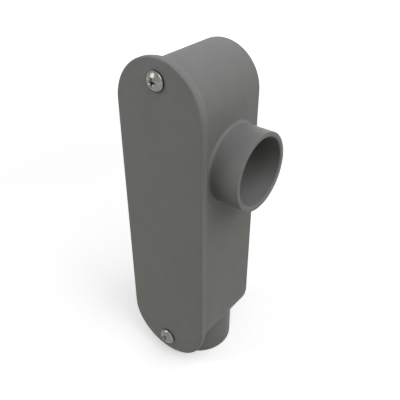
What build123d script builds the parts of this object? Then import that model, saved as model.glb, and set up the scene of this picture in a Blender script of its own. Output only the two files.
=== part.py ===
"""Rigid plastic conduit body with one end hub, one side hub and a gasketed screw-on cover.

The origin is the centre of the end hub's stop shoulder, where the end of the conduit seats. +Z runs
up the end hub's axis, +X points out of the side hub and -Y out of the cover. All lengths are in
millimetres.
"""
from build123d import *
import os

# Conduit sockets
socket_radius = 16.85
socket_depth = 17.5
socket_lead = 0.5
hub_wall = 2.5
hub_lip_round = 0.35
side_root_round = 1.5
end_root_round = 2.8
stop_thickness = 2.5
throat_radius = 13.3
throat_round = 1.2
side_hub_reach = 15.9
end_hub_reach = 6.8
hub_spacing = 125.5

# Cover
cover_overhang = 3.1
cover_length = 172.0
cover_thickness = 2.6
cover_edge_round = 0.8

# Body, sized round its hubs
wall = 2.6
side_land = 1.55
back_land = 0.7
front_land = 4.0
back_round = 0.5
cavity_round = 2.0
rim_inset = 0.6
rim_thickness = 1.6
rim_root_round = 1.0

# Gasket
gasket_thickness = 0.4
gasket_inset = 0.8
gasket_inner_margin = 0.5
gasket_pad_radius = 6.2

# Screws, threaded inserts and the bosses that hold them
screw_end_distance = 9.8
screw_radius = 2.4
screw_length = 9.5
screw_tip_chamfer = 0.5
head_radius = 4.7
head_height = 3.2
head_rim = 1.0
recess_arm = 2.6
recess_width = 1.3
recess_depth = 1.9
hole_clearance = 0.3
thread_clearance = 0.08
insert_wall = 1.1
insert_length = 5.6
insert_sink = 0.2
insert_clearance = 0.02
insert_groove_width = 0.8
insert_groove_depth = 0.3
blind_gap = 1.1
boss_wall = 1.7
upper_boss_length = 12.0

# Places that follow from the sizes
hub_radius = socket_radius + hub_wall
end_mouth = -socket_depth
side_axis = end_mouth + hub_spacing
back = hub_radius + back_land
rim_back = -hub_radius - front_land
rim_front = rim_back - rim_thickness
cover_back = rim_front - gasket_thickness
cover_front = cover_back - cover_thickness
cover_bottom = end_mouth + end_hub_reach
cover_top = cover_bottom + cover_length
body_half_width = hub_radius + side_land
cover_width = 2 * (body_half_width + cover_overhang)
side_mouth = body_half_width + side_hub_reach
collar_length = socket_depth + stop_thickness
screw_heights = {
    "upper": cover_top - screw_end_distance,
    "lower": cover_bottom + screw_end_distance,
}
insert_bore = screw_radius + thread_clearance
insert_radius = insert_bore + insert_wall
boss_hole_radius = insert_radius + insert_clearance
boss_radius = boss_hole_radius + boss_wall
insert_front = rim_front + insert_sink
insert_back = insert_front + insert_length
cover_hole_radius = screw_radius + hole_clearance


def slab(inset, front_y, back_y):
    """Plate with half-round ends, inset all round from the cover's outline."""
    outline = SlotOverall(cover_length - 2 * inset, cover_width - 2 * inset, rotation=90)
    middle = (cover_bottom + cover_top) / 2
    plane = Plane(origin=(0, front_y, middle), x_dir=(1, 0, 0), z_dir=(0, 1, 0))
    return extrude(plane * outline, amount=back_y - front_y)


def rod(radius, height, front_y, back_y):
    """Round bar along Y at one height on the centre line."""
    plane = Plane(origin=(0, front_y, height), x_dir=(1, 0, 0), z_dir=(0, 1, 0))
    return extrude(plane * Circle(radius), amount=back_y - front_y)


def edges_at(solid, y, half_width):
    """Edges of a half-round-ended outline of the given half width in one plane across Y."""
    near = 1e-4
    boxes = [(edge, edge.bounding_box()) for edge in solid.edges()]
    return [
        edge for edge, box in boxes
        if abs(box.min.Y - y) < near and abs(box.max.Y - y) < near
        and (abs(box.max.X - half_width) < near or abs(box.min.X + half_width) < near)
    ]


def spun(*lines):
    """Solid of revolution about Z from a closed outline of radius against height."""
    return revolve(Plane.XZ * make_face(lines), Axis.Z)


def hub_solid(length):
    """Solid hub with its mouth at height zero and a rounded lip."""
    return spun(
        Line((0, 0), (hub_radius - hub_lip_round, 0)),
        CenterArc((hub_radius - hub_lip_round, hub_lip_round), hub_lip_round, -90, 90),
        Line((hub_radius, hub_lip_round), (hub_radius, length)),
        Line((hub_radius, length), (0, length)),
        Line((0, length), (0, 0)),
    )


def hub_root(reach):
    """Hollow rounding that joins a hub to a flat wall at the given height."""
    outer = hub_radius + side_root_round
    core = hub_radius - hub_wall / 2
    return spun(
        Line((core, reach - side_root_round), (hub_radius, reach - side_root_round)),
        CenterArc((outer, reach - side_root_round), side_root_round, 180, -90),
        Line((outer, reach), (outer, reach + wall / 2)),
        Line((outer, reach + wall / 2), (core, reach + wall / 2)),
        Line((core, reach + wall / 2), (core, reach - side_root_round)),
    )


def hub_bore():
    """Space inside a hub: lead-in, socket, stop shoulder and rounded throat."""
    beyond = collar_length + throat_round
    mouth_radius = socket_radius + socket_lead
    throat_end = throat_radius + throat_round
    return spun(
        Polyline(
            (0, beyond), (0, -socket_lead), (mouth_radius, -socket_lead), (mouth_radius, 0),
            (socket_radius, socket_lead), (socket_radius, socket_depth),
            (throat_radius, socket_depth), (throat_radius, collar_length - throat_round),
        ),
        CenterArc((throat_end, collar_length - throat_round), throat_round, 180, -90),
        Polyline((throat_end, collar_length), (throat_end, beyond), (0, beyond)),
    )


def at_end_hub(solid):
    """Moves a hub shape built on Z so that its mouth opens downwards at the end hub."""
    return Pos(0, 0, end_mouth) * solid


def at_side_hub(solid):
    """Turns a hub shape built on Z so that its mouth opens along +X at the side hub."""
    return Plane(origin=(side_mouth, 0, side_axis), x_dir=(0, 1, 0), z_dir=(-1, 0, 0)).location * solid


def end_root_edges(solid):
    """Edges where the end hub leaves the box: as wide and as deep as the hub, and above its lip."""
    near = 1e-3
    boxes = [(edge, edge.bounding_box()) for edge in solid.edges()]
    return [
        edge for edge, box in boxes
        if abs(box.max.X - hub_radius) < near and abs(box.max.Y - hub_radius) < near
        and box.min.Z > end_mouth + hub_lip_round + near
    ]


def box_with_end_hub():
    """Solid box with its end hub, both deeper than needed, rounded where they join and cut to depth."""
    spare = 2 * end_root_round
    lower_end_centre = cover_bottom + cover_width / 2
    box = slab(cover_overhang, rim_front - spare, back + spare)
    joined = box + at_end_hub(hub_solid(lower_end_centre - end_mouth))
    joined = fillet(end_root_edges(joined), min(end_root_round, front_land - rim_root_round))
    return joined & slab(-cover_width, rim_front, back)


def outer_form():
    """Box, end hub and rim before anything is hollowed, rounded round the back and behind the rim."""
    form = box_with_end_hub()
    back_face = form.faces().sort_by(Axis.Y)[-1]
    form = fillet(back_face.outer_wire().edges(), back_round)
    form = form + slab(rim_inset, rim_front, rim_back)
    return fillet(edges_at(form, rim_back, body_half_width), rim_root_round)


def cavity():
    """Wiring space, open at the rim and rounded along its back."""
    space = slab(cover_overhang + wall, rim_front, back - wall)
    return fillet(edges_at(space, back - wall, body_half_width - wall), cavity_round)


def side_root():
    """Rounding at the foot of the side hub, cut off flush with the flat back."""
    reach = 2 * (hub_radius + side_root_round)
    room = Pos(side_mouth, back, side_axis) * Box(
        2 * side_mouth, 2 * reach, 2 * reach, align=(Align.CENTER, Align.MAX, Align.CENTER))
    return at_side_hub(hub_root(side_hub_reach)) & room


def screw_bosses():
    """Upper and lower boss, each grown out of the end wall behind the rim."""
    ends = {"upper": rim_front + upper_boss_length, "lower": insert_back + blind_gap + boss_wall}
    room = slab(cover_overhang + wall / 2, rim_front, back)
    rods = [rod(boss_radius, height, rim_front, ends[name]) & room for name, height in screw_heights.items()]
    return rods[0] + rods[1]


def conduit_body():
    """One moulding: box, rim, two hubs with stop shoulders, and two screw bosses."""
    shell = outer_form() + at_side_hub(hub_solid(side_hub_reach + wall)) + side_root()
    shell = shell - cavity()
    collar = hub_solid(collar_length)
    shell = shell + at_end_hub(collar) + at_side_hub(collar) + screw_bosses()
    shell = shell - at_end_hub(hub_bore()) - at_side_hub(hub_bore())
    for height in screw_heights.values():
        shell = shell - rod(boss_hole_radius, height, rim_front, insert_back + blind_gap)
    return shell


def cover():
    """Flat plate with a rounded front edge and two clearance holes."""
    plate = slab(0, cover_front, cover_back)
    plate = fillet(edges_at(plate, cover_front, cover_width / 2), cover_edge_round)
    for height in screw_heights.values():
        plate = plate - rod(cover_hole_radius, height, cover_front, cover_back)
    return plate


def gasket():
    """Flat ring on the rim, with a round pad at each screw."""
    ring = slab(gasket_inset, cover_back, rim_front)
    ring = ring - slab(cover_overhang + wall - gasket_inner_margin, cover_back, rim_front)
    outline = slab(gasket_inset, cover_back, rim_front)
    for height in screw_heights.values():
        ring = ring + (rod(gasket_pad_radius, height, cover_back, rim_front) & outline)
    for height in screw_heights.values():
        ring = ring - rod(cover_hole_radius, height, cover_back, rim_front)
    return ring


def screw():
    """Pan-head machine screw on Z, head underside at zero, with a cross recess in the head."""
    crown = head_height - head_rim
    dome_radius = (head_radius**2 + crown**2) / (2 * crown)
    tip_radius = screw_radius - screw_tip_chamfer
    tip_foot = screw_tip_chamfer - screw_length
    turned = spun(
        Line((0, -screw_length), (tip_radius, -screw_length)),
        Line((tip_radius, -screw_length), (screw_radius, tip_foot)),
        Line((screw_radius, tip_foot), (screw_radius, 0)),
        Line((screw_radius, 0), (head_radius, 0)),
        Line((head_radius, 0), (head_radius, head_rim)),
        RadiusArc((head_radius, head_rim), (0, head_height), -dome_radius),
        Line((0, head_height), (0, -screw_length)),
    )
    slot_height = head_height - recess_depth
    for turn in (0, 90):
        arm = Pos(0, 0, slot_height) * Rot(0, 0, turn) * Box(
            2 * recess_arm, recess_width, head_height, align=(Align.CENTER, Align.CENTER, Align.MIN))
        turned = turned - arm
    return turned


def insert():
    """Grooved threaded bush on Z, with its front face at zero."""
    bush = Cylinder(insert_radius, insert_length, align=(Align.CENTER, Align.CENTER, Align.MAX))
    groove = Cylinder(insert_radius, insert_groove_width, align=(Align.CENTER, Align.CENTER, Align.CENTER))
    groove = groove - Cylinder(insert_radius - insert_groove_depth, insert_groove_width)
    bush = bush - Pos(0, 0, -insert_length / 2) * groove
    return bush - Cylinder(insert_bore, 2 * insert_length)


def facing_out(solid, y, height):
    """Places a shape built on Z so that +Z points out of the cover."""
    return Plane(origin=(0, y, height), x_dir=(1, 0, 0), z_dir=(0, -1, 0)).location * solid


parts = {"conduit_body": conduit_body(), "cover": cover(), "cover_gasket": gasket()}
for name, height in screw_heights.items():
    parts[f"cover_screw_{name}"] = facing_out(screw(), cover_front, height)
    parts[f"threaded_insert_{name}"] = facing_out(insert(), insert_front, height)

os.makedirs("parts", exist_ok=True)
for node, solid in parts.items():
    export_step(solid, f"parts/{node}.step")
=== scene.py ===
import math

import bmesh
import bpy
from mathutils import Matrix, Vector


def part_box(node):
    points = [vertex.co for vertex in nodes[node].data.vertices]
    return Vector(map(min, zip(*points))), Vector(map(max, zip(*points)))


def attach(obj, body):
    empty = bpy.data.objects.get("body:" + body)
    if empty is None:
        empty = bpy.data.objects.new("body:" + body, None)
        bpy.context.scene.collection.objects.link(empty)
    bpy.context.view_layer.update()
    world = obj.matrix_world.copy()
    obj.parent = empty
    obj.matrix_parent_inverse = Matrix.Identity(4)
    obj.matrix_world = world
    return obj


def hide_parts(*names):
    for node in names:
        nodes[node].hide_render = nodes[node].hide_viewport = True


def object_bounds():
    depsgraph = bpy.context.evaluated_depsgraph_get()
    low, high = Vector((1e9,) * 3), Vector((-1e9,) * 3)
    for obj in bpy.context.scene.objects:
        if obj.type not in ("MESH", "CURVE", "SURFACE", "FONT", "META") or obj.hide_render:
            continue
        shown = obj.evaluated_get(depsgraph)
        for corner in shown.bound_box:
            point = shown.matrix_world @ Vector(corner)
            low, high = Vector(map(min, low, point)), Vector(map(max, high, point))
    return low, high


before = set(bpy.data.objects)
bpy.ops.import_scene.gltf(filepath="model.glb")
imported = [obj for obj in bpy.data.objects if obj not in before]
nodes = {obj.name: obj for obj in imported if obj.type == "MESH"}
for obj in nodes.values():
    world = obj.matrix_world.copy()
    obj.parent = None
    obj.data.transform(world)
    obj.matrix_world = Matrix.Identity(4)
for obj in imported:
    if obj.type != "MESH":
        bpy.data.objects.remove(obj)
cad_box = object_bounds()

MM = 0.001
OUTWARD = Matrix(((1, 0, 0), (0, 0, -1), (0, 1, 0))).to_4x4()

# Camera: place and angles that match the photograph's
CAMERA_PLACE = (0.1406, -0.1783, 0.2309)
CAMERA_AZIMUTH = 38.0
CAMERA_ELEVATION = 34.0
FOCAL_PIXELS = 523.0
PHOTO_PIXELS = 400.0
SENSOR_MM = 36.0
CLIP_NEAR = 0.01
CLIP_FAR = 20.0

# Sky: strength near the horizon and overhead, and the heights of the direction where each is reached
SKY_LOW = 0.14
SKY_HIGH = 0.25
SKY_LOW_AT = -0.05
SKY_HIGH_AT = 0.75

# Floor: size in millimetres, tone for bounced light with less blue, and tone as the background
FLOOR_SIZE = 6000
FLOOR_TONE = 0.30
FLOOR_WARMTH = 0.66
FLOOR_SEEN = 0.95

# Floor's glow as the background: it rises to white away from the part, so that no horizon shows
GLOW_NEAR = 0.38
GLOW_FROM = 0.25
GLOW_TO = 0.80

# Lamps: place in metres, diameter and watts, all aimed at the middle of the part
LAMP_AIM = Vector((0.0, 0.0, 0.075))
LAMPS = {
    "overhead": (Vector((0.38, -0.05, 0.60)), 0.7, 2.7),
    "front": (Vector((-0.29, -0.42, 0.40)), 0.36, 0.92),
    "back": (Vector((-0.15, 0.85, 0.30)), 0.8, 1.8),
}

# Colours of each material, with the lighter one first for the plastics and last for the others
BODY_GREYS = (0.215, 0.215, 0.214), (0.200, 0.200, 0.199)
COVER_GREYS = (0.207, 0.207, 0.206), (0.194, 0.194, 0.193)
FOAM_GREYS = (0.055, 0.055, 0.053), (0.12, 0.12, 0.115)
ZINC_TONES = (0.17, 0.17, 0.15), (0.24, 0.24, 0.22)
# Near-black colour of the painted shade in the screws' recess and corners
ZINC_PAINTED_SHADE = (0.02, 0.02, 0.018)
BRASS_TONES = (0.62, 0.44, 0.18), (0.80, 0.62, 0.31)


def radius_of(node):
    """Half the width of a solid's box, in millimetres."""
    low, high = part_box(node)
    return (high.x - low.x) / 2 / MM


# Screw heads in millimetres, a little higher than the solid's because the recess takes the crown's tip
CROWN_EXTRA = 0.06
HEAD_RADIUS = radius_of("cover_screw_upper")
HEAD_HEIGHT = (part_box("cover")[0].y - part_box("cover_screw_upper")[0].y) / MM + CROWN_EXTRA
HEAD_SIDE = 1.1
HEAD_CORNER = 0.35
HEAD_CORNER_SHARE = 0.3
HEAD_CHAMFER = 0.12
CORNER_STEPS = 5
CROWN_STEPS = 24
CROWN_GAP = 0.02

# Cross recess: reach and width of its wings at the crown and at its foot
RECESS_REACH = 2.6
RECESS_WIDTH = 1.25
RECESS_CORNER = 1.05
RECESS_FOOT = 0.8
RECESS_FOOT_WIDTH = 0.85
RECESS_FOOT_CORNER = 0.8
RECESS_DEPTH = 1.9
RECESS_TIP = 0.35
RECESS_ABOVE = 0.5

# Threads, each point of the shape as a share of the pitch and of the ridge's height
THREAD_RADIUS = 2.4
THREAD_DEPTH = 0.52
THREAD_PITCH = 1.058
THREAD_SHAPE = ((0.0, 0.0), (0.06, 0.0), (0.42, 1.0), (0.58, 1.0), (0.94, 0.0))
PLAIN_SHANK = 0.6
TIP_CHAMFER = 0.25
SCREW_STEPS = 96

# Threaded inserts: bore, two knurled bands and the groove between them
INSERT_OUTER = radius_of("threaded_insert_upper")
INSERT_CREST = 2.47
INSERT_ROOT = 2.85
INSERT_CHAMFER = 0.3
INSERT_SHARP_ANGLE = 30.0
BORE_CHAMFER = 0.12
KNURL_TEETH = 40
KNURL_TOOTH = (0.0, 0.5, 1.0, 0.5)
KNURL_DEPTH = 0.18
KNURL_START = 0.45
GROOVE_HALF = 0.4
GROOVE_DEPTH = 0.3

# Gasket: round of its edges as a share of its thickness
FOAM_ROUND = 0.24

# Distances under which points are one: millimetres for built meshes, metres for a solid's mesh and face
WELD = 0.0005
SOLID_WELD = 1e-6
FACE_TOLERANCE = 1e-5


# Meshes

def linked_object(name, data):
    """Object in the scene's own collection."""
    obj = bpy.data.objects.new(name, data)
    bpy.context.scene.collection.objects.link(obj)
    return obj


def new_mesh(name, bm, smooth_angle=35.0):
    """Object from a bmesh built in millimetres, with faces smooth up to an angle."""
    bmesh.ops.remove_doubles(bm, verts=bm.verts, dist=WELD)
    bmesh.ops.dissolve_degenerate(bm, dist=WELD, edges=bm.edges)
    bmesh.ops.recalc_face_normals(bm, faces=bm.faces)
    bmesh.ops.scale(bm, vec=(MM, MM, MM), verts=bm.verts)
    for face in bm.faces:
        face.smooth = True
    limit = math.radians(smooth_angle)
    for edge in bm.edges:
        edge.smooth = len(edge.link_faces) == 2 and edge.calc_face_angle(0) < limit
    mesh = bpy.data.meshes.new(name)
    bm.to_mesh(mesh)
    bm.free()
    return linked_object(name, mesh)


def point_at(bm, radius, angle, height):
    """Point at a radius and an angle about Z."""
    return bm.verts.new((radius * math.cos(angle), radius * math.sin(angle), height))


def ring_of(bm, radii, height):
    """Ring of points about Z, one for each radius."""
    return [point_at(bm, radius, 2 * math.pi * i / len(radii), height) for i, radius in enumerate(radii)]


def bridge(bm, rings):
    """Faces between neighbouring rings, where a ring of one point closes an end."""
    for low, high in zip(rings, rings[1:]):
        steps = max(len(low), len(high))
        for i in range(steps):
            j = (i + 1) % steps
            corners = [low[i % len(low)], low[j % len(low)], high[j % len(high)], high[i % len(high)]]
            bm.faces.new(list(dict.fromkeys(corners)))


def spin_profile(bm, profile, steps):
    """Surface of revolution about Z through (radius, height) points."""
    bridge(bm, [ring_of(bm, [radius] * (steps if radius else 1), height) for radius, height in profile])


def arc(centre, radius, stop, count):
    """Points of an arc that starts along the first axis, its last angle in degrees."""
    points = []
    for i in range(count + 1):
        turn = math.radians(stop * i / count)
        points.append((centre[0] + radius * math.cos(turn), centre[1] + radius * math.sin(turn)))
    return points


def head_profile():
    """Pan head from its underside to the middle of its crown."""
    crown = HEAD_HEIGHT - HEAD_SIDE
    dome_reach = HEAD_RADIUS - HEAD_CORNER * HEAD_CORNER_SHARE
    dome_radius = (dome_reach**2 + crown**2) / (2 * crown)
    dome_foot = math.degrees(math.asin(dome_reach / dome_radius))
    side_top = HEAD_SIDE - HEAD_CORNER
    points = [(HEAD_RADIUS - HEAD_CHAMFER, 0.0), (HEAD_RADIUS, HEAD_CHAMFER)]
    points += arc((HEAD_RADIUS - HEAD_CORNER, side_top), HEAD_CORNER, 90 - dome_foot, CORNER_STEPS)
    corner_reach, corner_height = points[-1]
    for i in range(1, CROWN_STEPS):
        angle = math.radians(dome_foot * (1 - i / CROWN_STEPS))
        radius = dome_radius * math.sin(angle)
        height = HEAD_HEIGHT - dome_radius * (1 - math.cos(angle))
        if radius < corner_reach - CROWN_GAP:
            points.append((radius, max(height, corner_height)))
    points.append((0.0, HEAD_HEIGHT))
    return points


def thread_rows(bm, low_z, high_z, root, crest, steps):
    """Helical thread that fades to a plain circle of its root at both heights."""
    turns = math.ceil((high_z - low_z) / THREAD_PITCH) + 1
    rows = []
    for turn in range(-1, turns):
        for at, ridge in THREAD_SHAPE:
            row = []
            for i in range(steps + 1):
                height = low_z + THREAD_PITCH * (turn + at + i / steps)
                fade = min(height - low_z, high_z - height) / THREAD_PITCH
                radius = root + (crest - root) * max(0.0, min(ridge, fade))
                level = min(max(height, low_z), high_z)
                row.append(point_at(bm, radius, 2 * math.pi * i / steps, level))
            rows.append(row)
    for low, high in zip(rows, rows[1:]):
        for i in range(steps):
            bm.faces.new((low[i], low[i + 1], high[i + 1], high[i]))


def recess_cutter(name):
    """Cross with tapered wings and a pointed middle, for cutting the head."""
    bm = bmesh.new()
    top = HEAD_HEIGHT + RECESS_ABOVE
    foot = HEAD_HEIGHT - RECESS_DEPTH
    rise = (top - foot) / RECESS_DEPTH
    reach = RECESS_FOOT + (RECESS_REACH - RECESS_FOOT) * rise
    width = RECESS_FOOT_WIDTH + (RECESS_WIDTH - RECESS_FOOT_WIDTH) * rise
    levels = []
    for height, arm, across, corner in (
        (top, reach, width, width * RECESS_CORNER),
        (foot, RECESS_FOOT, RECESS_FOOT_WIDTH, RECESS_FOOT_WIDTH * RECESS_FOOT_CORNER),
    ):
        end_radius = math.hypot(arm, across / 2)
        end_angle = math.atan2(across / 2, arm)
        ring = []
        for quarter in range(4):
            turn = math.pi / 2 * quarter
            ring.append(point_at(bm, end_radius, turn - end_angle, height))
            ring.append(point_at(bm, end_radius, turn + end_angle, height))
            ring.append(point_at(bm, corner, turn + math.pi / 4, height))
        levels.append(ring)
    bm.faces.new(levels[0])
    levels.append(ring_of(bm, [0.0], foot - RECESS_TIP))
    bridge(bm, levels)
    return new_mesh(name, bm)


def cut_with(obj, cutter):
    """Cuts one object's mesh with another's and deletes the cutter."""
    cut = obj.modifiers.new("cut", "BOOLEAN")
    cut.object = cutter
    cut.operation = "DIFFERENCE"
    cut.solver = "EXACT"
    depsgraph = bpy.context.evaluated_depsgraph_get()
    mesh = bpy.data.meshes.new_from_object(obj.evaluated_get(depsgraph))
    obj.modifiers.clear()
    obj.data = mesh
    bpy.data.objects.remove(cutter)


def screw_on_z(name, shank_length):
    """Machine screw in one closed surface, its head's underside at zero."""
    bm = bmesh.new()
    core = THREAD_RADIUS - THREAD_DEPTH
    foot = TIP_CHAMFER - shank_length
    spin_profile(bm, [(0.0, -shank_length), (core - TIP_CHAMFER, -shank_length), (core, foot)], SCREW_STEPS)
    thread_rows(bm, foot, -PLAIN_SHANK, core, THREAD_RADIUS, SCREW_STEPS)
    spin_profile(bm, [(core, -PLAIN_SHANK), (core, 0.0)] + head_profile(), SCREW_STEPS)
    screw = new_mesh(name, bm)
    cut_with(screw, recess_cutter(name + ".recess"))
    return screw


def insert_on_z(name, length):
    """Knurled insert with a threaded bore in one closed surface, front face at zero."""
    bm = bmesh.new()
    steps = KNURL_TEETH * len(KNURL_TOOTH)
    edge = INSERT_OUTER - INSERT_CHAMFER
    valley = INSERT_OUTER - KNURL_DEPTH
    groove = INSERT_OUTER - GROOVE_DEPTH
    bands = [
        (0.0, edge, 0.0), (-INSERT_CHAMFER, valley, 0.0),
        (-KNURL_START, valley, 1.0), (KNURL_START - length / 2, valley, 1.0),
        (GROOVE_HALF - length / 2, groove, 0.0), (-GROOVE_HALF - length / 2, groove, 0.0),
        (-KNURL_START - length / 2, valley, 1.0), (KNURL_START - length, valley, 1.0),
        (INSERT_CHAMFER - length, valley, 0.0), (-length, edge, 0.0),
    ]
    rings = []
    for height, radius, knurl in bands:
        teeth = [radius + KNURL_DEPTH * knurl * tooth for tooth in KNURL_TOOTH] * KNURL_TEETH
        rings.append(ring_of(bm, teeth, height))
    bridge(bm, rings)
    mouth = INSERT_ROOT + BORE_CHAMFER
    spin_profile(bm, [(edge, 0.0), (mouth, 0.0), (INSERT_ROOT, -BORE_CHAMFER)], steps)
    thread_rows(bm, BORE_CHAMFER - length, -BORE_CHAMFER, INSERT_ROOT, INSERT_CREST, steps)
    spin_profile(bm, [(INSERT_ROOT, BORE_CHAMFER - length), (mouth, -length), (edge, -length)], steps)
    return new_mesh(name, bm, INSERT_SHARP_ANGLE)


def turn_outward(mesh, front_y, height):
    """Turns a mesh built on Z so that +Z points out of the cover, with its zero at a place."""
    mesh.transform(Matrix.Translation((0, front_y, height)) @ OUTWARD)


def edge_loops(node, y):
    """Closed outlines of a CAD node's flat face in the plane across Y."""
    bm = bmesh.new()
    bm.from_mesh(nodes[node].data)
    bmesh.ops.remove_doubles(bm, verts=bm.verts, dist=SOLID_WELD)

    def on_face(points):
        return all(abs(point.co.y - y) < FACE_TOLERANCE for point in points)

    links = {}
    for edge in bm.edges:
        flat = [face for face in edge.link_faces if on_face(face.verts)]
        if len(flat) == 1 and on_face(edge.verts):
            a, b = edge.verts
            links.setdefault(a, []).append(b)
            links.setdefault(b, []).append(a)
    loops = []
    left = dict.fromkeys(links)
    while left:
        here = next(iter(left))
        left.pop(here)
        loop = [here.co.copy()]
        while True:
            onward = [point for point in links[here] if point in left]
            if not onward:
                break
            here = onward[0]
            left.pop(here)
            loop.append(here.co.copy())
        loops.append(loop)
    bm.free()
    return loops


def foam_gasket(name):
    """Die-cut foam ring with edges that swell a little where the cover squeezes it."""
    low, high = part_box("cover_gasket")
    thick = high.y - low.y
    curve = bpy.data.curves.new(name, "CURVE")
    curve.dimensions = "2D"
    curve.fill_mode = "BOTH"
    curve.bevel_depth = thick * FOAM_ROUND
    curve.bevel_resolution = 3
    curve.extrude = thick / 2 - thick * FOAM_ROUND
    curve.offset = -thick * FOAM_ROUND
    for loop in edge_loops("cover_gasket", low.y):
        spline = curve.splines.new("POLY")
        spline.points.add(len(loop) - 1)
        spline.use_cyclic_u = True
        for point, spot in zip(spline.points, loop):
            point.co = (spot.x, spot.z, 0, 1)
    outline = linked_object(name + ".outline", curve)
    depsgraph = bpy.context.evaluated_depsgraph_get()
    mesh = bpy.data.meshes.new_from_object(outline.evaluated_get(depsgraph))
    bpy.data.objects.remove(outline)
    mesh.name = name
    turn_outward(mesh, (low.y + high.y) / 2, 0)
    return linked_object(name, mesh)


# Materials

def empty_material(name):
    """Node material with its tree and output alone."""
    made = bpy.data.materials.new(name)
    made.use_nodes = True
    tree = made.node_tree
    tree.nodes.clear()
    return made, tree, tree.nodes.new("ShaderNodeOutputMaterial")


def material(name):
    """Node material with its tree, shader and object coordinates."""
    made, tree, output = empty_material(name)
    shader = tree.nodes.new("ShaderNodeBsdfPrincipled")
    tree.links.new(shader.outputs["BSDF"], output.inputs["Surface"])
    place = tree.nodes.new("ShaderNodeTexCoord").outputs["Object"]
    return made, tree, shader, place


def noise(tree, place, scale, detail, rough, distortion=0.0):
    """Fractal noise, its scale in features per metre."""
    node = tree.nodes.new("ShaderNodeTexNoise")
    node.inputs["Scale"].default_value = scale
    node.inputs["Detail"].default_value = detail
    node.inputs["Roughness"].default_value = rough
    node.inputs["Distortion"].default_value = distortion
    tree.links.new(place, node.inputs["Vector"])
    return node.outputs["Fac"]


def spread(tree, value, low, high, from_low=0.3, from_high=0.7):
    """Value moved from one range to another."""
    node = tree.nodes.new("ShaderNodeMapRange")
    node.inputs["From Min"].default_value = from_low
    node.inputs["From Max"].default_value = from_high
    node.inputs["To Min"].default_value = low
    node.inputs["To Max"].default_value = high
    tree.links.new(value, node.inputs["Value"])
    return node.outputs["Result"]


def blend_colours(tree, share, first, second):
    """Mix of two colours, each a constant or an output."""
    node = tree.nodes.new("ShaderNodeMix")
    node.data_type = "RGBA"
    colour_inputs = [s for s in node.inputs if s.type == "RGBA"]
    for socket, colour in zip(colour_inputs, (first, second)):
        if isinstance(colour, tuple):
            socket.default_value = (*colour, 1.0)
        else:
            tree.links.new(colour, socket)
    tree.links.new(share, node.inputs["Factor"])
    return [s for s in node.outputs if s.type == "RGBA"][0]


def bump(tree, height, distance, strength, below=None):
    """Bump from a height, distance in metres, on top of another bump."""
    node = tree.nodes.new("ShaderNodeBump")
    node.inputs["Distance"].default_value = distance
    node.inputs["Strength"].default_value = strength
    tree.links.new(height, node.inputs["Height"])
    if below is not None:
        tree.links.new(below, node.inputs["Normal"])
    return node.outputs["Normal"]


def times(colour, factor):
    """Colour made lighter or darker."""
    return tuple(part * factor for part in colour)


def moulded_plastic(name, light, dark):
    """Matte moulded PVC: spark-eroded grain, faint flow clouds and streaks, and a lighter colour on sharply
    convex corners.
    """
    made, tree, shader, place = material(name)
    clouds = noise(tree, place, scale=38.0, detail=4.0, rough=0.6, distortion=0.4)
    stretch = tree.nodes.new("ShaderNodeMapping")
    stretch.inputs["Scale"].default_value = (1.0, 1.0, 0.08)
    tree.links.new(place, stretch.inputs["Vector"])
    streaks = noise(tree, stretch.outputs["Vector"], scale=420.0, detail=3.0, rough=0.55)
    specks = noise(tree, place, scale=6500.0, detail=1.0, rough=0.5)
    grain = noise(tree, place, scale=2300.0, detail=2.0, rough=0.65)
    ripple = noise(tree, place, scale=380.0, detail=2.0, rough=0.5)
    middle = tuple((a + b) / 2 for a, b in zip(light, dark))
    cloud_share = spread(tree, clouds, 0.0, 1.0, from_low=0.35, from_high=0.65)
    tone = blend_colours(tree, cloud_share, dark, light)
    streak_share = spread(tree, streaks, 0.0, 0.35, from_low=0.45, from_high=0.75)
    tone = blend_colours(tree, streak_share, tone, middle)
    speck_share = spread(tree, specks, 0.0, 0.5, from_low=0.55, from_high=0.8)
    tone = blend_colours(tree, speck_share, tone, times(light, 1.18))
    geometry = tree.nodes.new("ShaderNodeNewGeometry")
    # Colour made lighter on sharply convex corners, going by the surface's pointiness
    corner_share = spread(tree, geometry.outputs["Pointiness"], 0.0, 0.3, from_low=0.52, from_high=0.60)
    tone = blend_colours(tree, corner_share, tone, times(light, 1.35))
    tree.links.new(tone, shader.inputs["Base Color"])
    tree.links.new(spread(tree, ripple, 0.52, 0.64), shader.inputs["Roughness"])
    shader.inputs["Specular IOR Level"].default_value = 0.28
    waves = bump(tree, ripple, distance=0.00008, strength=0.5)
    grained = bump(tree, grain, distance=0.00010, strength=0.9, below=waves)
    tree.links.new(grained, shader.inputs["Normal"])
    return made


def closed_cell_foam(name):
    """Dark grey foam with fine closed cells."""
    made, tree, shader, place = material(name)
    cells = tree.nodes.new("ShaderNodeTexVoronoi")
    cells.inputs["Scale"].default_value = 3200.0
    tree.links.new(place, cells.inputs["Vector"])
    depth = spread(tree, cells.outputs["Distance"], 0.0, 1.0, from_low=0.0, from_high=0.7)
    tree.links.new(blend_colours(tree, depth, *FOAM_GREYS), shader.inputs["Base Color"])
    shader.inputs["Roughness"].default_value = 0.9
    shader.inputs["Specular IOR Level"].default_value = 0.2
    dented = bump(tree, cells.outputs["Distance"], distance=0.00006, strength=0.8)
    tree.links.new(dented, shader.inputs["Normal"])
    return made


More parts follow.
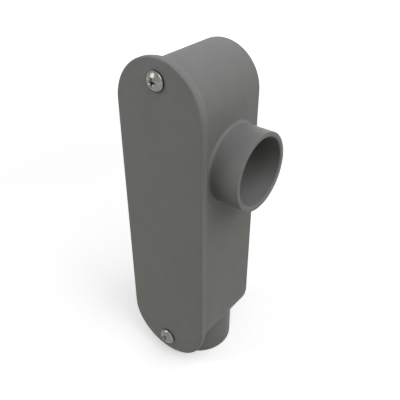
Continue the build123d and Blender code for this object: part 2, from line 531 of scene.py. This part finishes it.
def zinc_plate(name):
    """Bright zinc plate with fine turning marks and a faint cloudy bloom, its colour darkened towards
    near-black in its recess and corners as painted shade.
    """
    made, tree, shader, place = material(name)
    bloom = noise(tree, place, scale=700.0, detail=4.0, rough=0.6)
    marks = noise(tree, place, scale=5200.0, detail=2.0, rough=0.7)
    tone = blend_colours(tree, spread(tree, bloom, 0.0, 1.0), *ZINC_TONES)
    # Painted shade: ambient occlusion darkens the zinc's colour in the recess and corners
    recess_shade_ao = tree.nodes.new("ShaderNodeAmbientOcclusion")
    recess_shade_ao.inputs["Distance"].default_value = 0.002
    unshaded_share = spread(tree, recess_shade_ao.outputs["AO"], 0.0, 1.0, from_low=0.50, from_high=0.92)
    tone = blend_colours(tree, unshaded_share, ZINC_PAINTED_SHADE, tone)
    tree.links.new(tone, shader.inputs["Base Color"])
    shader.inputs["Metallic"].default_value = 1.0
    tree.links.new(spread(tree, bloom, 0.15, 0.26), shader.inputs["Roughness"])
    tree.links.new(bump(tree, marks, distance=0.000006, strength=0.5), shader.inputs["Normal"])
    return made


def turned_brass(name):
    """Brass with fine tool marks round its axis and slightly dulled patches."""
    made, tree, shader, place = material(name)
    dull = noise(tree, place, scale=900.0, detail=4.0, rough=0.6)
    marks = noise(tree, place, scale=6000.0, detail=2.0, rough=0.7)
    tone = blend_colours(tree, spread(tree, dull, 0.0, 1.0), *BRASS_TONES)
    tree.links.new(tone, shader.inputs["Base Color"])
    shader.inputs["Metallic"].default_value = 1.0
    tree.links.new(spread(tree, dull, 0.22, 0.38), shader.inputs["Roughness"])
    tree.links.new(bump(tree, marks, distance=0.000008, strength=0.6), shader.inputs["Normal"])
    return made


def dress(obj, finish):
    """Gives an object one material on all its faces."""
    if obj.data.materials:
        for i in range(len(obj.data.materials)):
            obj.data.materials[i] = finish
    else:
        obj.data.materials.append(finish)
    for slot in obj.material_slots:
        slot.material = finish


# Pieces

body_finish = moulded_plastic("body_plastic", *BODY_GREYS)
cover_finish = moulded_plastic("cover_plastic", *COVER_GREYS)
foam_finish = closed_cell_foam("gasket_foam")
zinc_finish = zinc_plate("screw_steel")
brass_finish = turned_brass("insert_brass")

dress(nodes["conduit_body"], body_finish)
dress(nodes["cover"], cover_finish)

foam = foam_gasket("foam_gasket")
dress(foam, foam_finish)
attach(foam, "cover_assembly")
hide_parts("cover_gasket")

cover_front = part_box("cover")[0].y
for place_name in ("upper", "lower"):
    node = f"cover_screw_{place_name}"
    low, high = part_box(node)
    screw = screw_on_z(f"machine_screw_{place_name}", (high.y - cover_front) / MM)
    turn_outward(screw.data, cover_front, (low.z + high.z) / 2)
    dress(screw, zinc_finish)
    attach(screw, f"{place_name}_screw")
    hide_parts(node)

    node = f"threaded_insert_{place_name}"
    low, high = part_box(node)
    bush = insert_on_z(f"knurled_insert_{place_name}", (high.y - low.y) / MM)
    turn_outward(bush.data, low.y, (low.z + high.z) / 2)
    dress(bush, brass_finish)
    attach(bush, "body")
    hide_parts(node)


# Floor, light and camera

def background_rays(tree):
    """One for the rays that see the white background: the camera's, glossy and transmission rays."""
    path = tree.nodes.new("ShaderNodeLightPath")
    shown = path.outputs["Is Camera Ray"]
    for kind in ("Is Glossy Ray", "Is Transmission Ray"):
        either = tree.nodes.new("ShaderNodeMath")
        either.operation = "MAXIMUM"
        tree.links.new(shown, either.inputs[0])
        tree.links.new(path.outputs[kind], either.inputs[1])
        shown = either.outputs["Value"]
    return shown


def seen_as(tree, output, lit, shown):
    """One shader for the light on the part and another for the rays that see the background."""
    pick = tree.nodes.new("ShaderNodeMixShader")
    tree.links.new(background_rays(tree), pick.inputs["Fac"])
    tree.links.new(lit.outputs[0], pick.inputs[1])
    tree.links.new(shown.outputs[0], pick.inputs[2])
    tree.links.new(pick.outputs[0], output.inputs["Surface"])


def floor_material():
    """Pale floor that reads as white and still takes a soft shadow."""
    made, tree, output = empty_material("studio_floor")
    plain = tree.nodes.new("ShaderNodeBsdfDiffuse")
    plain.inputs["Color"].default_value = (FLOOR_TONE, FLOOR_TONE, FLOOR_TONE * FLOOR_WARMTH, 1)
    pale = tree.nodes.new("ShaderNodeBsdfDiffuse")
    pale.inputs["Color"].default_value = (FLOOR_SEEN, FLOOR_SEEN, FLOOR_SEEN, 1)
    glow = tree.nodes.new("ShaderNodeEmission")
    glow.inputs["Color"].default_value = (1, 1, 1, 1)
    away = tree.nodes.new("ShaderNodeVectorMath")
    away.operation = "LENGTH"
    tree.links.new(tree.nodes.new("ShaderNodeTexCoord").outputs["Object"], away.inputs[0])
    strength = spread(tree, away.outputs["Value"], GLOW_NEAR, 1.0, from_low=GLOW_FROM, from_high=GLOW_TO)
    tree.links.new(strength, glow.inputs["Strength"])
    both = tree.nodes.new("ShaderNodeAddShader")
    tree.links.new(pale.outputs[0], both.inputs[0])
    tree.links.new(glow.outputs[0], both.inputs[1])
    seen_as(tree, output, plain, both)
    return made


def studio_floor():
    """Flat floor under the part's lowest point."""
    bm = bmesh.new()
    bmesh.ops.create_grid(bm, x_segments=1, y_segments=1, size=FLOOR_SIZE)
    floor = new_mesh("studio_floor", bm)
    floor.location = (0, 0, cad_box[0].z)
    floor.data.materials.append(floor_material())


def sky():
    """Soft light from all round, brighter overhead, that shows as white."""
    world = bpy.data.worlds.new("studio")
    bpy.context.scene.world = world
    world.use_nodes = True
    tree = world.node_tree
    tree.nodes.clear()
    output = tree.nodes.new("ShaderNodeOutputWorld")
    dome = tree.nodes.new("ShaderNodeBackground")
    dome.inputs["Color"].default_value = (1, 1, 1, 1)
    parts = tree.nodes.new("ShaderNodeSeparateXYZ")
    tree.links.new(tree.nodes.new("ShaderNodeTexCoord").outputs["Generated"], parts.inputs["Vector"])
    rise = spread(tree, parts.outputs["Z"], SKY_LOW, SKY_HIGH, from_low=SKY_LOW_AT, from_high=SKY_HIGH_AT)
    tree.links.new(rise, dome.inputs["Strength"])
    white = tree.nodes.new("ShaderNodeBackground")
    white.inputs["Color"].default_value = (1, 1, 1, 1)
    white.inputs["Strength"].default_value = 1.0
    seen_as(tree, output, dome, white)


def place_facing(obj, place, direction):
    """Puts a lamp or the camera at a place, looking along a direction."""
    obj.location = place
    obj.rotation_mode = "QUATERNION"
    obj.rotation_quaternion = direction.to_track_quat("-Z", "Y")


def lamps():
    """Round soft lamps, all aimed at the part."""
    for name, (place, size, watts) in LAMPS.items():
        lamp = bpy.data.lights.new(name, "AREA")
        lamp.shape = "DISK"
        lamp.size = size
        lamp.energy = watts
        place_facing(linked_object(name, lamp), place, LAMP_AIM - place)


def photograph_camera():
    """Camera at the photograph's viewing angle."""
    azimuth, elevation = math.radians(CAMERA_AZIMUTH), math.radians(CAMERA_ELEVATION)
    level = math.cos(elevation)
    forward = Vector((-math.sin(azimuth) * level, math.cos(azimuth) * level, -math.sin(elevation)))
    lens = bpy.data.cameras.new("camera")
    lens.sensor_width = SENSOR_MM
    lens.lens = SENSOR_MM * FOCAL_PIXELS / PHOTO_PIXELS
    lens.clip_start = CLIP_NEAR
    lens.clip_end = CLIP_FAR
    camera = linked_object("camera", lens)
    place_facing(camera, CAMERA_PLACE, forward)
    bpy.context.scene.camera = camera


studio_floor()
sky()
lamps()
photograph_camera()

view = bpy.context.scene.view_settings
view.view_transform = "Standard"
